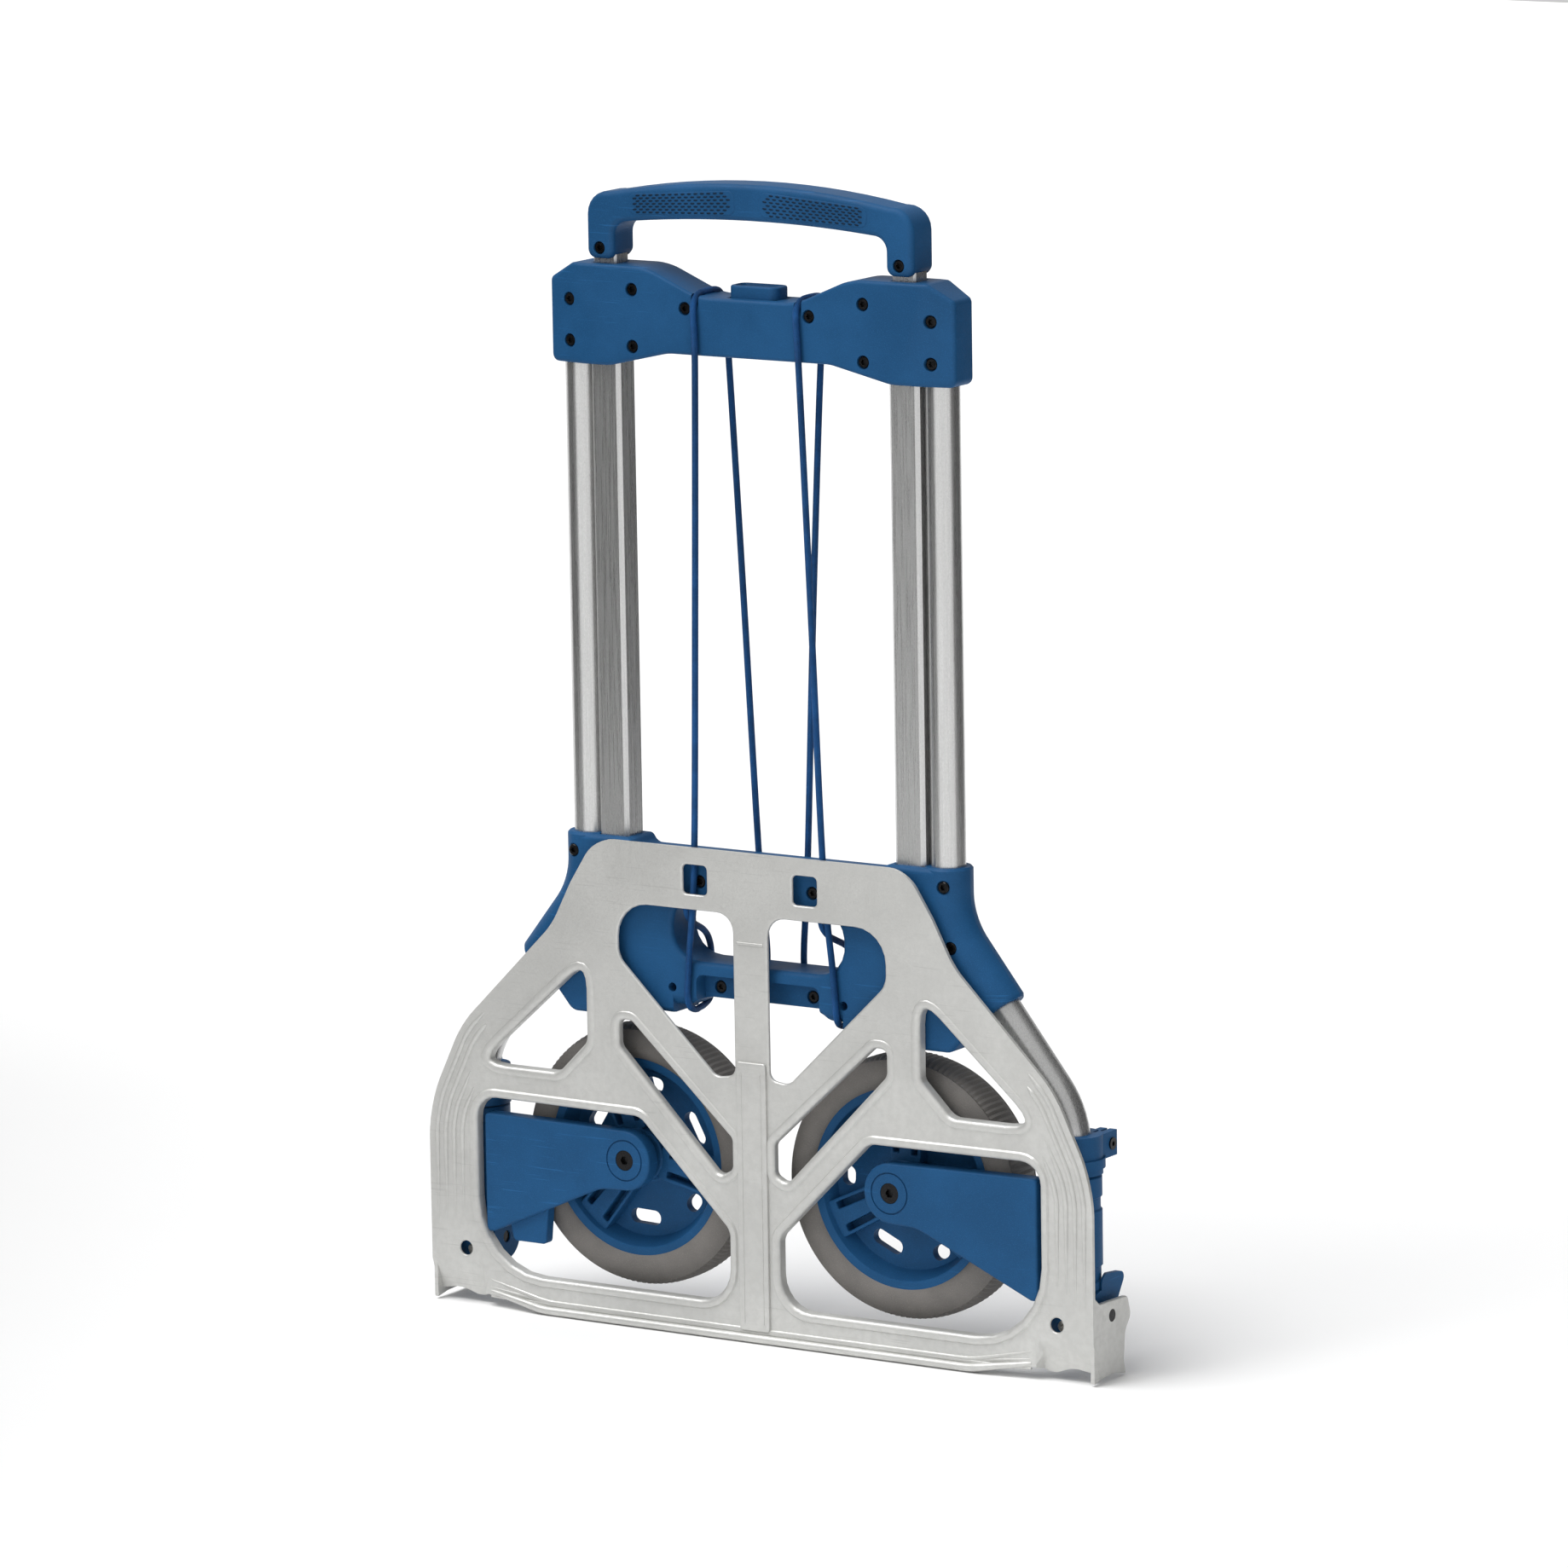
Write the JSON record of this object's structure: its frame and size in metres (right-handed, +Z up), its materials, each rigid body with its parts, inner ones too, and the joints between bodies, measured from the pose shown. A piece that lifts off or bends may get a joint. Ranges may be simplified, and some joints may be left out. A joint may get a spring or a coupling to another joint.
{
  "type": "folding hand truck",
  "caption": "Folding two-wheel hand truck, stored folded, with telescopic handle, fold-up stamped toe plate and swing-in wheels.",
  "frame": {"origin": "middle of the folded truck's footprint on the floor, at the bottom of its bounding box", "axes": "+X to the right seen from the toe plate's side, +Y to the back, away from the toe plate, +Z up along the tubes"},
  "size_m": [0.497, 0.0566, 0.736],
  "materials": {
    "aluminium_tube": "satin anodised",
    "stamped_aluminium": "matt mill finish",
    "blue_plastic": "moulded matt",
    "grip_texture": "moulded knurl",
    "elastic_cord": "braided",
    "grey_tyre": "matt rubber",
    "black_plastic": "moulded matt",
    "black_steel": "black oxide",
    "bright_steel": "zinc plated"
  },
  "bodies": {
    "frame": {"left_frame_tube": "aluminium_tube", "right_frame_tube": "aluminium_tube", "left_guide_tube": "aluminium_tube", "right_guide_tube": "aluminium_tube", "crosshead_front": "blue_plastic", "crosshead_back": "blue_plastic", "crosshead_screws": "black_steel", "button_spring": "bright_steel", "yoke_front": "blue_plastic", "yoke_back": "blue_plastic", "yoke_screws": "black_steel", "left_cord": "elastic_cord", "right_cord": "elastic_cord", "cord_crimps": "bright_steel", "cord_anchors": "black_plastic", "left_tube_foot": "blue_plastic", "right_tube_foot": "blue_plastic", "foot_screws": "bright_steel", "left_collar": "blue_plastic", "right_collar": "blue_plastic", "collar_screws": "black_steel", "left_hinge_pin": "black_steel", "right_hinge_pin": "black_steel"},
    "handle": {"handle_grip": "blue_plastic", "left_grip_pad": "grip_texture", "right_grip_pad": "grip_texture", "handle_screws": "black_steel", "left_handle_tube": "aluminium_tube", "right_handle_tube": "aluminium_tube", "left_slide_shoe": "black_plastic", "right_slide_shoe": "black_plastic"},
    "button": {"release_button": "blue_plastic"},
    "left_bolt": {"left_lock_bolt": "bright_steel"},
    "right_bolt": {"right_lock_bolt": "bright_steel"},
    "toe_plate": {"toe_plate": "stamped_aluminium"},
    "left_arm": {"left_wheel_arm": "blue_plastic", "left_axle": "black_steel", "left_axle_cap": "black_plastic"},
    "right_arm": {"right_wheel_arm": "blue_plastic", "right_axle": "black_steel", "right_axle_cap": "black_plastic"},
    "left_wheel": {"left_rim": "blue_plastic", "left_tyre": "grey_tyre", "left_bearings": "bright_steel"},
    "right_wheel": {"right_rim": "blue_plastic", "right_tyre": "grey_tyre", "right_bearings": "bright_steel"}
  },
  "joints": [
    {"name": "handle_slide", "type": "slide", "parent": "frame", "child": "handle", "axis": [0, 0, 1], "range_m": [0, 0.31]},
    {"name": "button_press", "type": "slide", "parent": "frame", "child": "button", "axis": [0, 0, -1], "range_m": [0, 0.004], "stiffness_N_per_m": 900, "springref_m": -0.001, "deforming": ["button_spring"]},
    {"name": "left_bolt_pull", "type": "slide", "parent": "frame", "child": "left_bolt", "axis": [1, 0, 0], "range_m": [0, 0.006]},
    {"name": "right_bolt_pull", "type": "slide", "parent": "frame", "child": "right_bolt", "axis": [-1, 0, 0], "range_m": [0, 0.006]},
    {"name": "toe_plate_fold", "type": "hinge", "parent": "frame", "child": "toe_plate", "pos_m": [0, 0, 0.041], "axis": [1, 0, 0], "range_deg": [0, 90]},
    {"name": "left_arm_swing", "type": "hinge", "parent": "frame", "child": "left_arm", "pos_m": [-0.222, 0, 0.1066], "axis": [0, 0, 1], "range_deg": [0, 90]},
    {"name": "right_arm_swing", "type": "hinge", "parent": "frame", "child": "right_arm", "pos_m": [0.222, 0, 0.1066], "axis": [0, 0, -1], "range_deg": [0, 90]},
    {"name": "left_wheel_spin", "type": "hinge", "parent": "left_arm", "child": "left_wheel", "pos_m": [-0.0995, 0.008, 0.1066], "axis": [0, 1, 0], "continuous": true},
    {"name": "right_wheel_spin", "type": "hinge", "parent": "right_arm", "child": "right_wheel", "pos_m": [0.0995, 0.008, 0.1066], "axis": [0, 1, 0], "continuous": true}
  ],
  "couplings": [
    {"joint": "left_bolt_pull", "follows": "button_press", "ratio": 1.5},
    {"joint": "right_bolt_pull", "follows": "button_press", "ratio": 1.5},
    {"joint": "left_arm_swing", "follows": "toe_plate_fold", "ratio": 1},
    {"joint": "right_arm_swing", "follows": "toe_plate_fold", "ratio": 1}
  ]
}
